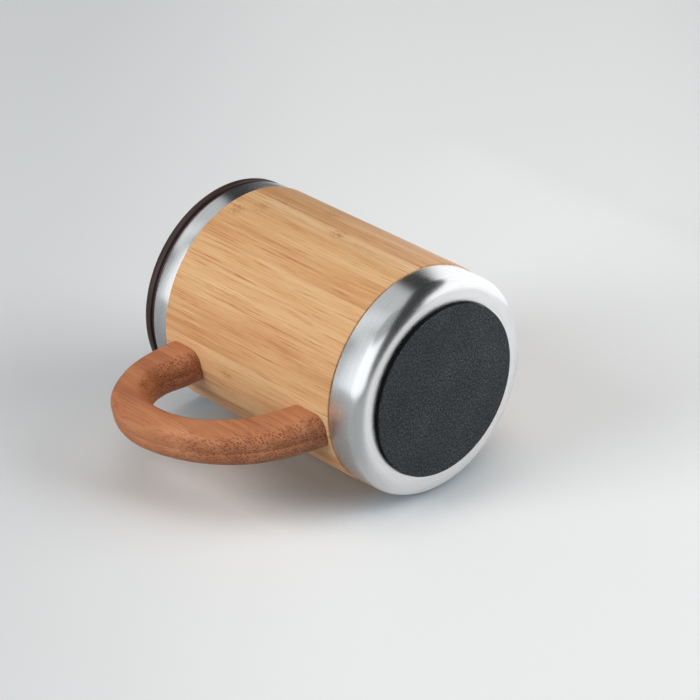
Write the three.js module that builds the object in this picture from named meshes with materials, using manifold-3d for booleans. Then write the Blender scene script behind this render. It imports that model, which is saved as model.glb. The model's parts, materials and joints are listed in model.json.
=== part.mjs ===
// A double-walled steel mug with a bamboo sleeve, a bamboo handle and a drink-through lid.
// Millimetres, +Z up the mug's axis. The origin is the centre of the foot pad's lower face,
// and the handle points towards -X.
import * as THREE from "three";
import { mergeVertices } from "three/addons/utils/BufferGeometryUtils.js";
import Module from "manifold-3d";

const wasm = await Module();
wasm.setup();

// Facets: round the turned pieces, and along one rounded corner
const TURN_SEGMENTS = 56;
const CORNER_STEPS = 4;

// Bamboo sleeve
const SLEEVE_RADIUS = 40;
const SLEEVE_WALL = 3.4;
const SLEEVE_LENGTH = 81.8;
const SLEEVE_CHAMFER = 0.4;
const SLEEVE_CLEARANCE = 0.4;
const SLEEVE_PROUD = 0.4; // how far the sleeve stands out past the steel

// Steel walls
const STEEL_WALL = 0.6;
const AIR_GAP = 1; // between the outer shell and the inner liner
const BAND_HEIGHT = 7.6; // steel that shows above the sleeve, up to the rim
const RIM_ROUND = 0.8;
const LIP_WIDTH = 1.4; // the shell's turned-in lip under the liner's rim
const RIM_INSET = 0.7; // the liner's rim ends this far inside the steel's outer radius
const MOUTH_FLARE = 3.6; // how far the liner opens out towards its rim
const FLARE_HEIGHT = 5;
const LINER_FILLET = 4;
const LINER_LIFT = 5; // the liner's underside above the foot
const WELD_SEAM = 0.1; // between the liner's wall and the floor welded into it
const SHELL_TAPER_HEIGHT = 3; // the shell draws in at its lower end, to stand on the base's ring

// Base cup and foot pad
const BASE_HEIGHT = 15.2; // foot to the sleeve's lower edge
const BASE_WALL = 0.8;
const BASE_FILLET = 4.8;
const BASE_EDGE = 0.5;
const PAD_RADIUS = 31;
const PAD_THICKNESS = 2;
const PAD_PROUD = 1; // the pad stands this far below the steel ring
const PAD_EDGE = 0.3;
const PAD_CLEARANCE = 0.3;

// Handle: how far it stands out from the sleeve, and the width of its board at the top of the bow
const HANDLE_REACH = 32.4;
const HANDLE_WIDTH = 13;
// Stations of its centre line, as shares of that reach, of the sleeve's length and of that width
const HANDLE_STATIONS = [
  [-0.123, 0.866, 1.43],
  [0.123, 0.893, 1.17],
  [0.37, 0.918, 1],
  [0.623, 0.909, 0.97],
  [0.883, 0.843, 1],
  [1, 0.694, 0.954],
  [0.904, 0.482, 0.892],
  [0.63, 0.295, 1.03],
  [0.272, 0.175, 1.177],
  [-0.123, 0.103, 1.23],
];
const HANDLE_THICKNESS = 13.5;
const HANDLE_ROUND_IN = 4.5; // rounding of the edges, across the board's face
const HANDLE_ROUND_DOWN = 3.75; // and through its thickness
const HANDLE_STEPS = 40;
const GLUE_GAP = 0.3;

// Dowels in the handle's arms, with their heights as shares of the sleeve's length
const DOWEL_RADIUS = 3;
const DOWEL_IN_HANDLE = 8;
const DOWEL_CLEARANCE = 0.15;
const DOWEL_END_GAP = 0.3;
const DOWEL_SIDES = 20;
const DOWELS = { handle_dowel_upper: 0.897, handle_dowel_lower: 0.138 };

// Lid
const LID_RISE = 4.3; // rim to the lid's top
const LID_INSET = 0.2; // the flange ends this far inside the steel's outer radius
const LID_NECK = 1.2; // height of the shadow gap between rim and flange
const LID_NECK_INSET = 0.8;
const LID_TOP_ROUND = 1.2;
const LID_UNDER_ROUND = 0.5;
const LID_FLOOR = 2; // plastic under the slider's track
const LID_SEAT_WIDTH = 2;
const PLUG_CLEARANCE = 1;
const PLUG_DEPTH = 13.6;
const PLUG_WALL = 2.4;
const PLUG_CHAMFER = 0.4;
const PLUG_STRAIGHT = 8.4; // plug's lower end to the start of its flare

// Gasket, in a groove of the plug
const GROOVE_LIFT = 2;
const GROOVE_HEIGHT = 3;
const GROOVE_DEPTH = 1.4;
const GASKET_HEIGHT = 2.8;
const GASKET_CLEARANCE = 0.15;
const GASKET_VALLEY = 0.65; // depth of the valley between its two lips

// Slider and its track
const SLIDER_LENGTH = 30;
const SLIDER_TRAVEL = 12;
const SLIDER_WIDTH = 15.4;
const SLIDER_FLANGE_WIDTH = 1.1;
const SLIDER_FLANGE_HEIGHT = 1;
const SLIDER_CORNER = 2.5;
const SLIDER_SINK = 0.2; // below the lid's top
const SLIDER_CLEARANCE = 0.1;
const TRACK_END_GAP = 0.3;
const TRACK_END = 31.3; // the track's end nearest the drinker
const THUMB_LENGTH = 6;
const THUMB_WIDTH = 12;
const THUMB_HEIGHT = 2;
const THUMB_INSET = 3; // from the slider's rear end
const SIP_LENGTH = 8;
const SIP_WIDTH = 13;
const SIP_INSET = 2.7; // from the track's end
const SIP_CORNER = 3.6;
const VENT_RADIUS = 1.5;
const VENT_RADIUS_OUT = 24; // from the axis, on the handle's side

// Heights and radii that follow
const sleeveLow = BASE_HEIGHT;
const sleeveTop = sleeveLow + SLEEVE_LENGTH;
const rimTop = sleeveTop + BAND_HEIGHT;
const lidTop = rimTop + LID_RISE;
const sleeveBore = SLEEVE_RADIUS - SLEEVE_WALL;
const steelRadius = SLEEVE_RADIUS - SLEEVE_PROUD;
const shellRadius = sleeveBore - SLEEVE_CLEARANCE;
const shellBore = shellRadius - STEEL_WALL;
const linerRadius = shellBore - AIR_GAP;
const linerBore = linerRadius - STEEL_WALL;
const rimRadius = steelRadius - RIM_INSET;
const handleHeight = (share) => sleeveLow + share * SLEEVE_LENGTH;

const point = (radius, height) => new THREE.Vector2(radius, height);

// Points of a rounded corner in a profile, between two angles in degrees.
function corner(centre, radius, startAngle, endAngle) {
  const start = THREE.MathUtils.degToRad(startAngle);
  const end = THREE.MathUtils.degToRad(endAngle);
  const curve = new THREE.EllipseCurve(
    centre.x, centre.y, radius, radius, start, end, end < start,
  );
  return curve.getPoints(CORNER_STEPS);
}

// A solid of revolution about Z. The profile runs outwards below and back inwards above.
function turned(profile) {
  const first = profile[0];
  const loop = first.x === 0 ? profile : [...profile, first.clone()];
  return new THREE.LatheGeometry(loop, TURN_SEGMENTS).rotateX(Math.PI / 2);
}

// A closed geometry as a solid for joining and cutting.
function toSolid(geometry) {
  const bare = geometry.clone();
  bare.deleteAttribute("normal");
  bare.deleteAttribute("uv");
  const merged = mergeVertices(bare);
  const faces = [];
  const index = merged.index.array;
  for (let i = 0; i < index.length; i += 3) {
    const [a, b, c] = index.slice(i, i + 3);
    if (a !== b && b !== c && c !== a) faces.push(a, b, c);
  }
  const mesh = new wasm.Mesh({
    numProp: 3,
    vertProperties: merged.getAttribute("position").array,
    triVerts: new Uint32Array(faces),
  });
  return new wasm.Manifold(mesh);
}

function toGeometry(solid) {
  const mesh = solid.getMesh();
  const geometry = new THREE.BufferGeometry();
  geometry.setAttribute("position", new THREE.BufferAttribute(mesh.vertProperties, 3));
  geometry.setIndex(new THREE.BufferAttribute(mesh.triVerts, 1));
  geometry.computeVertexNormals();
  return geometry;
}

// A flat plate with rounded corners, its length along X, from low to high along Z.
function plate(length, width, round, centreX, low, high) {
  const shape = new THREE.Shape();
  const x = length / 2 - round;
  const y = width / 2 - round;
  shape.absarc(x, y, round, 0, Math.PI / 2);
  shape.absarc(-x, y, round, Math.PI / 2, Math.PI);
  shape.absarc(-x, -y, round, Math.PI, 1.5 * Math.PI);
  shape.absarc(x, -y, round, 1.5 * Math.PI, 2 * Math.PI);
  const settings = { depth: high - low, bevelEnabled: false, curveSegments: CORNER_STEPS };
  return new THREE.ExtrudeGeometry(shape, settings).translate(centreX, 0, low);
}

// A round pin along X, between two distances out from the axis on the handle's side.
function pin(radius, from, to, height) {
  const geometry = new THREE.CylinderGeometry(radius, radius, to - from, DOWEL_SIDES);
  return geometry.rotateZ(Math.PI / 2).translate(-(from + to) / 2, 0, height);
}

function footPad() {
  return turned([
    point(0, 0),
    point(PAD_RADIUS - PAD_EDGE, 0),
    point(PAD_RADIUS, PAD_EDGE),
    point(PAD_RADIUS, PAD_THICKNESS),
    point(0, PAD_THICKNESS),
  ]);
}

// The pressed cap: a recess for the pad, a flat ring, a rounded shoulder and a turned-in top.
function baseCup() {
  const recess = PAD_RADIUS + PAD_CLEARANCE;
  const fillet = point(steelRadius - BASE_FILLET, PAD_PROUD + BASE_FILLET);
  const edge = point(steelRadius - BASE_EDGE, sleeveLow - BASE_EDGE);
  const collar = shellRadius + PAD_CLEARANCE;
  return turned([
    point(0, PAD_THICKNESS),
    point(recess, PAD_THICKNESS),
    point(recess, PAD_PROUD),
    ...corner(fillet, BASE_FILLET, -90, 0),
    ...corner(edge, BASE_EDGE, 0, 90),
    point(collar, sleeveLow),
    point(collar, sleeveLow - BASE_WALL),
    point(steelRadius - BASE_WALL, sleeveLow - BASE_WALL),
    ...corner(fillet, BASE_FILLET - BASE_WALL, 0, -90),
    point(recess + BASE_WALL, PAD_PROUD + BASE_WALL),
    point(recess + BASE_WALL, PAD_THICKNESS + BASE_WALL),
    point(0, PAD_THICKNESS + BASE_WALL),
  ]);
}

// The outer wall: a waist under the sleeve, then a shoulder, the band and a turned-in lip.
function outerShell() {
  const foot = PAD_PROUD + BASE_WALL;
  const lip = rimTop - STEEL_WALL;
  const bandBore = steelRadius - STEEL_WALL;
  const footRadius = steelRadius - BASE_FILLET - PAD_CLEARANCE;
  return turned([
    point(footRadius, foot),
    point(shellRadius, foot + SHELL_TAPER_HEIGHT),
    point(shellRadius, sleeveTop),
    ...corner(point(steelRadius - BASE_EDGE, sleeveTop + BASE_EDGE), BASE_EDGE, -90, 0),
    ...corner(point(steelRadius - RIM_ROUND, lip - RIM_ROUND), RIM_ROUND, 0, 90),
    point(steelRadius - LIP_WIDTH, lip),
    point(steelRadius - LIP_WIDTH, lip - STEEL_WALL),
    point(bandBore - RIM_ROUND, lip - STEEL_WALL),
    point(bandBore, lip - STEEL_WALL - RIM_ROUND),
    point(bandBore, sleeveTop + STEEL_WALL),
    point(shellBore, sleeveTop + STEEL_WALL),
    point(shellBore, foot + SHELL_TAPER_HEIGHT),
    point(footRadius - STEEL_WALL, foot),
  ]);
}

// The inner wall: a straight cup whose mouth flares out to the rim.
function innerLiner() {
  const inner = LINER_FILLET - STEEL_WALL;
  const fillet = point(linerRadius - LINER_FILLET, LINER_LIFT + LINER_FILLET);
  const flareLow = rimTop - STEEL_WALL - FLARE_HEIGHT;
  const flareTop = rimTop - STEEL_WALL;
  const flare = (radius, low, top) =>
    new THREE.QuadraticBezierCurve(
      point(radius, low),
      point(radius, low + FLARE_HEIGHT / 2),
      point(radius + MOUTH_FLARE, top),
    ).getPoints(CORNER_STEPS);
  return turned([
    ...corner(fillet, LINER_FILLET, -90, 0),
    ...flare(linerRadius, flareLow, flareTop),
    point(rimRadius, flareTop),
    point(rimRadius, rimTop),
    ...flare(linerBore, flareLow, rimTop).reverse(),
    ...corner(fillet, inner, 0, -90),
  ]);
}

// The round floor of the liner, inside the wall's rounded foot.
function linerFloor() {
  const edge = linerRadius - LINER_FILLET - WELD_SEAM;
  return turned([
    point(0, LINER_LIFT),
    point(edge, LINER_LIFT),
    point(edge, LINER_LIFT + STEEL_WALL),
    point(0, LINER_LIFT + STEEL_WALL),
  ]);
}

// The sleeve, drilled through for the handle's dowels.
function bambooSleeve() {
  const outer = SLEEVE_RADIUS - SLEEVE_CHAMFER;
  let sleeve = toSolid(
    turned([
      point(sleeveBore, sleeveLow),
      point(outer, sleeveLow),
      point(SLEEVE_RADIUS, sleeveLow + SLEEVE_CHAMFER),
      point(SLEEVE_RADIUS, sleeveTop - SLEEVE_CHAMFER),
      point(outer, sleeveTop),
      point(sleeveBore, sleeveTop),
    ]),
  );
  for (const share of Object.values(DOWELS)) sleeve = sleeve.subtract(toSolid(dowelHole(share)));
  return toGeometry(sleeve);
}

function dowelHole(share) {
  const from = sleeveBore - SLEEVE_CLEARANCE;
  const to = SLEEVE_RADIUS + DOWEL_IN_HANDLE + DOWEL_END_GAP;
  return pin(DOWEL_RADIUS + DOWEL_CLEARANCE, from, to, handleHeight(share));
}

function dowel(share) {
  const to = SLEEVE_RADIUS + DOWEL_IN_HANDLE;
  return pin(DOWEL_RADIUS, sleeveBore + DOWEL_END_GAP, to, handleHeight(share));
}

// Half a turn of the board's section: two rounded edges, as distances in from the side and up.
function handleSection() {
  const flat = HANDLE_THICKNESS / 2 - HANDLE_ROUND_DOWN;
  const edge = [];
  for (let i = 0; i <= CORNER_STEPS; i += 1) {
    const turn = (Math.PI / 2) * (i / CORNER_STEPS);
    const inset = HANDLE_ROUND_IN * (1 - Math.cos(turn));
    edge.push([inset, flat + HANDLE_ROUND_DOWN * Math.sin(turn)]);
  }
  const lower = edge.map(([inset, rise]) => [inset, -rise]).reverse();
  return [...lower, ...edge];
}

// The ear-shaped board: its section swept along the centre line, then its ends cut to the sleeve.
function handle() {
  const stations = HANDLE_STATIONS.map(
    ([out, share, width]) =>
      new THREE.Vector3(SLEEVE_RADIUS + out * HANDLE_REACH, handleHeight(share), width * HANDLE_WIDTH),
  );
  const path = new THREE.CatmullRomCurve3(stations);
  const side = handleSection();
  const ring = 2 * side.length;
  const positions = [];
  for (let step = 0; step <= HANDLE_STEPS; step += 1) {
    const at = path.getPoint(step / HANDLE_STEPS);
    const along = path.getTangent(step / HANDLE_STEPS);
    const across = point(-along.y, along.x).normalize();
    const put = (offset, rise) =>
      positions.push(-(at.x + across.x * offset), rise, at.y + across.y * offset);
    for (const [inset, rise] of side) put(at.z / 2 - inset, rise);
    for (const [inset, rise] of side) put(inset - at.z / 2, -rise);
  }
  const faces = [];
  for (let step = 0; step < HANDLE_STEPS; step += 1) {
    for (let i = 0; i < ring; i += 1) {
      const a = step * ring + i;
      const b = step * ring + ((i + 1) % ring);
      faces.push(a, b, a + ring, b, b + ring, a + ring);
    }
  }
  const last = HANDLE_STEPS * ring;
  for (let i = 1; i < ring - 1; i += 1) {
    faces.push(0, i + 1, i);
    faces.push(last, last + i, last + i + 1);
  }
  const swept = new THREE.BufferGeometry();
  swept.setAttribute("position", new THREE.Float32BufferAttribute(positions, 3));
  swept.setIndex(faces);
  const saddle = new THREE.CylinderGeometry(
    SLEEVE_RADIUS + GLUE_GAP, SLEEVE_RADIUS + GLUE_GAP, 2 * SLEEVE_LENGTH, TURN_SEGMENTS,
  );
  saddle.rotateX(Math.PI / 2).translate(0, 0, sleeveLow + SLEEVE_LENGTH / 2);
  let board = toSolid(swept).subtract(toSolid(saddle));
  for (const share of Object.values(DOWELS)) board = board.subtract(toSolid(dowelHole(share)));
  return toGeometry(board);
}

// Places that the lid, its gasket and its slider share
const flangeRadius = steelRadius - LID_INSET;
const neckRadius = flangeRadius - LID_NECK_INSET;
const plugRadius = linerBore - PLUG_CLEARANCE;
const plugLow = rimTop - PLUG_DEPTH;
const grooveLow = plugLow + GROOVE_LIFT;
const grooveRadius = plugRadius - GROOVE_DEPTH;
const sliderTop = lidTop - SLIDER_SINK;
const trackLength = SLIDER_LENGTH + SLIDER_TRAVEL + 2 * TRACK_END_GAP;
const trackCentre = TRACK_END - trackLength / 2;
const trackFloor = rimTop - STEEL_WALL + LID_FLOOR + SLIDER_SINK;
const sliderCentre = TRACK_END - TRACK_END_GAP - SLIDER_LENGTH / 2;
const sipCentre = TRACK_END - SIP_INSET - SIP_LENGTH / 2;

// The lid: a flange over a shadow gap, a hollow plug with a groove, a track, a sip hole and a vent.
function lidBody() {
  const flangeLow = rimTop + LID_NECK;
  const underside = trackFloor - LID_FLOOR;
  const under = point(flangeRadius - LID_UNDER_ROUND, flangeLow + LID_UNDER_ROUND);
  const over = point(flangeRadius - LID_TOP_ROUND, lidTop - LID_TOP_ROUND);
  const turnedLid = turned([
    point(0, underside),
    point(plugRadius - PLUG_WALL, underside),
    point(plugRadius - PLUG_WALL, plugLow),
    point(plugRadius - PLUG_CHAMFER, plugLow),
    point(plugRadius, plugLow + PLUG_CHAMFER),
    point(plugRadius, grooveLow),
    point(grooveRadius, grooveLow),
    point(grooveRadius, grooveLow + GROOVE_HEIGHT),
    point(plugRadius, grooveLow + GROOVE_HEIGHT),
    point(plugRadius, plugLow + PLUG_STRAIGHT),
    point(neckRadius - LID_SEAT_WIDTH, rimTop),
    point(neckRadius, rimTop),
    point(neckRadius, flangeLow),
    ...corner(under, LID_UNDER_ROUND, -90, 0),
    ...corner(over, LID_TOP_ROUND, 0, 90),
    point(0, lidTop),
  ]);
  const open = SLIDER_WIDTH + 2 * SLIDER_CLEARANCE;
  const undercut = open + 2 * SLIDER_FLANGE_WIDTH;
  const undercutTop = trackFloor + SLIDER_FLANGE_HEIGHT + 2 * SLIDER_CLEARANCE;
  const above = lidTop + LID_RISE;
  const vent = new THREE.CylinderGeometry(VENT_RADIUS, VENT_RADIUS, 4 * LID_RISE, DOWEL_SIDES);
  vent.rotateX(Math.PI / 2).translate(-VENT_RADIUS_OUT, 0, lidTop);
  const cuts = [
    plate(trackLength, undercut, SLIDER_CORNER, trackCentre, trackFloor, undercutTop),
    plate(trackLength, open, SLIDER_CORNER, trackCentre, trackFloor, above),
    plate(SIP_LENGTH, SIP_WIDTH, SIP_CORNER, sipCentre, plugLow, above),
    vent,
  ];
  let lid = toSolid(turnedLid);
  for (const cut of cuts) lid = lid.subtract(toSolid(cut));
  return toGeometry(lid);
}

// A silicone ring with two lips, resting on the groove's lower face.
function lidGasket() {
  const inner = grooveRadius + GASKET_CLEARANCE;
  const outer = linerBore - GASKET_CLEARANCE;
  const valley = outer - GASKET_VALLEY;
  const top = grooveLow + GASKET_HEIGHT;
  const lip = GASKET_HEIGHT / 4;
  return turned([
    point(inner, grooveLow),
    point(valley, grooveLow),
    point(outer, grooveLow + lip),
    point(valley, grooveLow + 2 * lip),
    point(outer, grooveLow + 3 * lip),
    point(valley, top),
    point(inner, top),
  ]);
}

// A plate that runs in the track's undercut, with a thumb piece at its rear end.
function lidSlider() {
  const low = trackFloor + SLIDER_CLEARANCE;
  const flange = SLIDER_WIDTH + 2 * SLIDER_FLANGE_WIDTH;
  const thumbCentre = sliderCentre - SLIDER_LENGTH / 2 + THUMB_INSET + THUMB_LENGTH / 2;
  const runner = plate(
    SLIDER_LENGTH, flange, SLIDER_CORNER, sliderCentre, low, low + SLIDER_FLANGE_HEIGHT,
  );
  const body = plate(SLIDER_LENGTH, SLIDER_WIDTH, SLIDER_CORNER, sliderCentre, low, sliderTop);
  const thumb = plate(
    THUMB_LENGTH, THUMB_WIDTH, SLIDER_CORNER, thumbCentre, low, sliderTop + THUMB_HEIGHT,
  );
  return toGeometry(toSolid(runner).add(toSolid(body)).add(toSolid(thumb)));
}

const finish = (color, roughness, metalness) =>
  new THREE.MeshStandardMaterial({ color, roughness, metalness });
const FOAM = finish("#33373b", 0.95, 0);
const STEEL = finish("#c9cccd", 0.32, 1);
const BAMBOO = finish("#d6a06a", 0.5, 0);
const HANDLE_BAMBOO = finish("#b0703f", 0.5, 0);
const DOWEL_WOOD = finish("#d9c39a", 0.7, 0);
const LID_PLASTIC = finish("#3b2a26", 0.45, 0);
const SILICONE = finish("#d8d6d0", 0.6, 0);

const mug = new THREE.Group();
const lid = new THREE.Group();
mug.add(lid);

function add(parent, name, geometry, material) {
  const mesh = new THREE.Mesh(geometry, material);
  mesh.name = name;
  parent.add(mesh);
}

add(mug, "foot_pad", footPad(), FOAM);
add(mug, "base_cup", baseCup(), STEEL);
add(mug, "outer_shell", outerShell(), STEEL);
add(mug, "inner_liner", innerLiner(), STEEL);
add(mug, "liner_floor", linerFloor(), STEEL);
add(mug, "bamboo_sleeve", bambooSleeve(), BAMBOO);
add(mug, "handle", handle(), HANDLE_BAMBOO);
for (const [name, share] of Object.entries(DOWELS)) add(mug, name, dowel(share), DOWEL_WOOD);
add(lid, "lid_body", lidBody(), LID_PLASTIC);
add(lid, "lid_gasket", lidGasket(), SILICONE);
add(lid, "lid_slider", lidSlider(), LID_PLASTIC);

export default mug;
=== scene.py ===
# %% [markdown]
# # A bamboo and steel mug, lying on its side
# The mug stands upright in its own frame, with +Z from the foot to the lid and the handle towards -X.
# The picture shows it lying down, so the floor here is an upright plane that touches the sleeve, and
# the camera is turned so that this plane looks level. Nothing on the mug has to be moved for that.

# %% Load the frame
import json
import math

import bmesh
import bpy
from mathutils import Matrix, Vector

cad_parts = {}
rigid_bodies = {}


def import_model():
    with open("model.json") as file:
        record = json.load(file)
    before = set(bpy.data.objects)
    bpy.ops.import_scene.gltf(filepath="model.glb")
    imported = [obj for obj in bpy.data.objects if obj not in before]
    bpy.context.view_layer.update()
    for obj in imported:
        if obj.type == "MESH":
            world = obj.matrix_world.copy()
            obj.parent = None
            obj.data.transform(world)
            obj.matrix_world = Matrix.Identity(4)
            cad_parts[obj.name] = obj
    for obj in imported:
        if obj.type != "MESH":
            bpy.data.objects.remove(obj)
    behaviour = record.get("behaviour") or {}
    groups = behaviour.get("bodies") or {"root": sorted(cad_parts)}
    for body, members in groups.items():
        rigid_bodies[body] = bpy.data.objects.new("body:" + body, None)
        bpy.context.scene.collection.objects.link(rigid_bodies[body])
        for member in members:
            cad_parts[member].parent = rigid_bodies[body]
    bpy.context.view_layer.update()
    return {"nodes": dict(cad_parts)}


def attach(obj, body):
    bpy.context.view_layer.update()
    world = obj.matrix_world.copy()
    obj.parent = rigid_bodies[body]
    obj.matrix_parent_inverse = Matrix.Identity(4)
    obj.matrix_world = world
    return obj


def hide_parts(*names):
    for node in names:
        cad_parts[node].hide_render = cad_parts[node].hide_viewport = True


for leftover in list(bpy.data.objects):
    bpy.data.objects.remove(leftover)
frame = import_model()
MM = 0.001
print("nodes:", sorted(frame["nodes"]))

# %% [markdown]
# ## The camera and the way the mug lies
# Three directions describe a mug on its side: along its axis to the lid, up from the floor, and level
# towards the handle's side. The handle hangs a little below the level line. A long lens far away keeps
# the ellipses of foot and lid nearly alike, as a product photographer would.

# %% Directions and camera
HANDLE_DROOP = math.radians(12)
LENS = 164.1
CAMERA_RISE = math.radians(28.53)
CAMERA_TURN = math.radians(43.56)
CAMERA_DISTANCE = 1.0997
AIM_ALONG, AIM_LEVEL, AIM_UP = 48.71 * MM, -2.13 * MM, -4.35 * MM

TO_LID = Vector((0, 0, 1))
FLOOR_UP = Vector((math.sin(HANDLE_DROOP), -math.cos(HANDLE_DROOP), 0))
LEVEL = Vector((-math.cos(HANDLE_DROOP), -math.sin(HANDLE_DROOP), 0))


def lying(along, level, up):
    """A vector given along the mug's axis, level towards the handle, and up from the floor."""
    return TO_LID * along + LEVEL * level + FLOOR_UP * up


def facing(direction):
    """The turn that points an object's -Z along a direction, with its Y towards the floor's up."""
    back = -direction.normalized()
    right = FLOOR_UP.cross(back).normalized()
    return Matrix((right, back.cross(right), back)).transposed()


camera_data = bpy.data.cameras.new("camera")
camera_data.lens = LENS
camera = bpy.data.objects.new("camera", camera_data)
bpy.context.scene.collection.objects.link(camera)
level_reach = math.cos(CAMERA_RISE)
to_camera = lying(
    -math.cos(CAMERA_TURN) * level_reach,
    math.sin(CAMERA_TURN) * level_reach,
    math.sin(CAMERA_RISE),
)
aim = lying(AIM_ALONG, AIM_LEVEL, AIM_UP)
camera.matrix_world = Matrix.Translation(aim + to_camera * CAMERA_DISTANCE) @ facing(-to_camera).to_4x4()
bpy.context.scene.camera = camera
print("camera at", [round(x, 3) for x in camera.location])

# %% [markdown]
# ## Small tools for meshes
# Most of the mug is turned on a lathe, so most pieces are a profile spun round Z. The profile is drawn
# with sharp corners, and the circles that should be soft are bevelled afterwards, as a maker breaks edges.

# %% Mesh helpers
SPIN_STEPS = 160
SMOOTH_ANGLE = math.radians(32)
SAME_POINT = 1e-6
SLIVER = 1e-7
SAME_CIRCLE = 0.02 * MM


def clean(shape):
    """Merges vertices that fell together, and removes the slivers between them."""
    bmesh.ops.remove_doubles(shape, verts=shape.verts, dist=SAME_POINT)
    bmesh.ops.dissolve_degenerate(shape, edges=shape.edges, dist=SLIVER)


def spun(profile, steps=SPIN_STEPS, closed=True):
    """Spins (radius, height) corners in millimetres round Z. An open profile starts and ends on the axis."""
    shape = bmesh.new()
    corners = [shape.verts.new((radius * MM, 0, height * MM)) for radius, height in profile]
    ends = corners[1:] + corners[:1] if closed else corners[1:]
    edges = [shape.edges.new(pair) for pair in zip(corners, ends)]
    bmesh.ops.spin(
        shape, geom=corners + edges, cent=(0, 0, 0), axis=(0, 0, 1), angle=2 * math.pi, steps=steps,
        use_merge=True,
    )
    clean(shape)
    bmesh.ops.recalc_face_normals(shape, faces=shape.faces)
    return shape


def round_edges(shape, edges, rounding, segments):
    """Rounds edges of a shape by a size in millimetres."""
    bmesh.ops.bevel(
        shape, geom=edges, offset=rounding * MM, offset_type="OFFSET", segments=segments, profile=0.5,
        affect="EDGES", material=-1, clamp_overlap=False,
    )


def soften(shape, circles, segments=4):
    """Rounds the circles given as (radius, height, rounding), in millimetres."""
    for radius, height, rounding in circles:
        ring = {
            vert for vert in shape.verts
            if abs(math.hypot(vert.co.x, vert.co.y) - radius * MM) < SAME_CIRCLE
            and abs(vert.co.z - height * MM) < SAME_CIRCLE
        }
        edges = [edge for edge in shape.edges if ring.issuperset(edge.verts)]
        round_edges(shape, edges, rounding, segments)
    clean(shape)


def placed(name, shape):
    """Makes a shape into an object in the scene."""
    mesh = bpy.data.meshes.new(name)
    shape.to_mesh(mesh)
    shape.free()
    made = bpy.data.objects.new(name, mesh)
    bpy.context.scene.collection.objects.link(made)
    return made


def finished(name, shape, body, material, node):
    """Turns a shape into a smooth object that rides on a body and stands for a node."""
    piece = placed(name, shape)
    mesh = piece.data
    mesh.polygons.foreach_set("use_smooth", [True] * len(mesh.polygons))
    mesh.set_sharp_from_angle(angle=SMOOTH_ANGLE)
    mesh.materials.append(material)
    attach(piece, body)
    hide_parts(node)
    print(name, len(mesh.polygons), "faces")


# %% [markdown]
# ## Shader maths in plain Python
# A finish is a tree of nodes. Writing it as sums is easier to read, so one small class wraps a socket
# and adds a Math node for each operator. Every other node comes from one method.


# %% Shader helpers
class Value:
    """A socket whose operators add Math nodes."""

    def __init__(self, finish, socket):
        self.finish = finish
        self.socket = socket

    def math(self, operation, *others):
        """A Math node that takes this value first."""
        return self.finish.node("Math", {"operation": operation}, dict(enumerate((self, *others))))

    def reflected(self, operation, other):
        """A Math node that takes this value second."""
        return self.finish.node("Math", {"operation": operation}, {0: other, 1: self})

    def __add__(self, other):
        return self.math("ADD", other)

    def __radd__(self, other):
        return self.reflected("ADD", other)

    def __sub__(self, other):
        return self.math("SUBTRACT", other)

    def __rsub__(self, other):
        return self.reflected("SUBTRACT", other)

    def __mul__(self, other):
        return self.math("MULTIPLY", other)

    def __rmul__(self, other):
        return self.reflected("MULTIPLY", other)


class Finish:
    """A new material or world, and the nodes in it."""

    def __init__(self, name, owner=None):
        self.owner = owner or bpy.data.materials.new(name)
        self.owner.use_nodes = True
        self.tree = self.owner.node_tree
        self.tree.nodes.clear()

    def node(self, kind, settings=None, inputs=None, out=0):
        """Adds a node, sets its settings, fills its sockets, and returns the output of that place or name."""
        made = self.tree.nodes.new("ShaderNode" + kind)
        for key, setting in (settings or {}).items():
            if key == "stops":
                self.fill_ramp(made.color_ramp, setting)
            else:
                setattr(made, key, setting)
        for key, value in (inputs or {}).items():
            if isinstance(value, Value):
                self.tree.links.new(value.socket, made.inputs[key])
            else:
                made.inputs[key].default_value = value
        return Value(self, made.outputs[out])

    @staticmethod
    def fill_ramp(ramp, stops):
        while len(ramp.elements) < len(stops):
            ramp.elements.new(1.0)
        for element, (position, colour) in zip(ramp.elements, stops):
            element.position = position
            element.color = colour

    def place(self):
        """The three Object coordinates, in metres."""
        point = self.node("TexCoord", out="Object")
        return [self.node("SeparateXYZ", None, {0: point}, out=axis) for axis in "XYZ"]

    def vector(self, x, y, z):
        return self.node("CombineXYZ", None, {0: x, 1: y, 2: z})

    def noise(self, vector, scale, detail, roughness):
        inputs = {"Vector": vector, "Scale": scale, "Detail": detail, "Roughness": roughness}
        return self.node("TexNoise", None, inputs)

    def ramp(self, value, *stops):
        return self.node("ValToRGB", {"stops": stops}, {0: value})

    def smooth(self, value, low, high, to_low=0.0, to_high=1.0):
        """A soft step from to_low at low to to_high at high."""
        inputs = {0: value, 1: low, 2: high, 3: to_low, 4: to_high}
        return self.node("MapRange", {"interpolation_type": "SMOOTHSTEP"}, inputs)

    def mix(self, share, first, second):
        """A mix of two colours, which are sockets 6 and 7 of this node."""
        return self.node("Mix", {"data_type": "RGBA"}, {0: share, 6: first, 7: second}, out=2)

    def bump(self, height, strength, distance):
        return self.node("Bump", None, {"Strength": strength, "Distance": distance, "Height": height})

    def principled(self, inputs):
        return self.ending(self.node("BsdfPrincipled", None, inputs))

    def ending(self, shader, kind="OutputMaterial"):
        """Links the last shader to the output, and returns the finished material or world."""
        output = self.tree.nodes.new("ShaderNode" + kind)
        self.tree.links.new(shader.socket, output.inputs[0])
        return self.owner


def rgb(red, green, blue):
    """A colour as it looks on screen, 0 to 255, turned into the light values that shaders use."""
    def linear(part):
        part /= 255
        return part / 12.92 if part <= 0.04045 else ((part + 0.055) / 1.055) ** 2.4

    return (linear(red), linear(green), linear(blue), 1)


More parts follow.
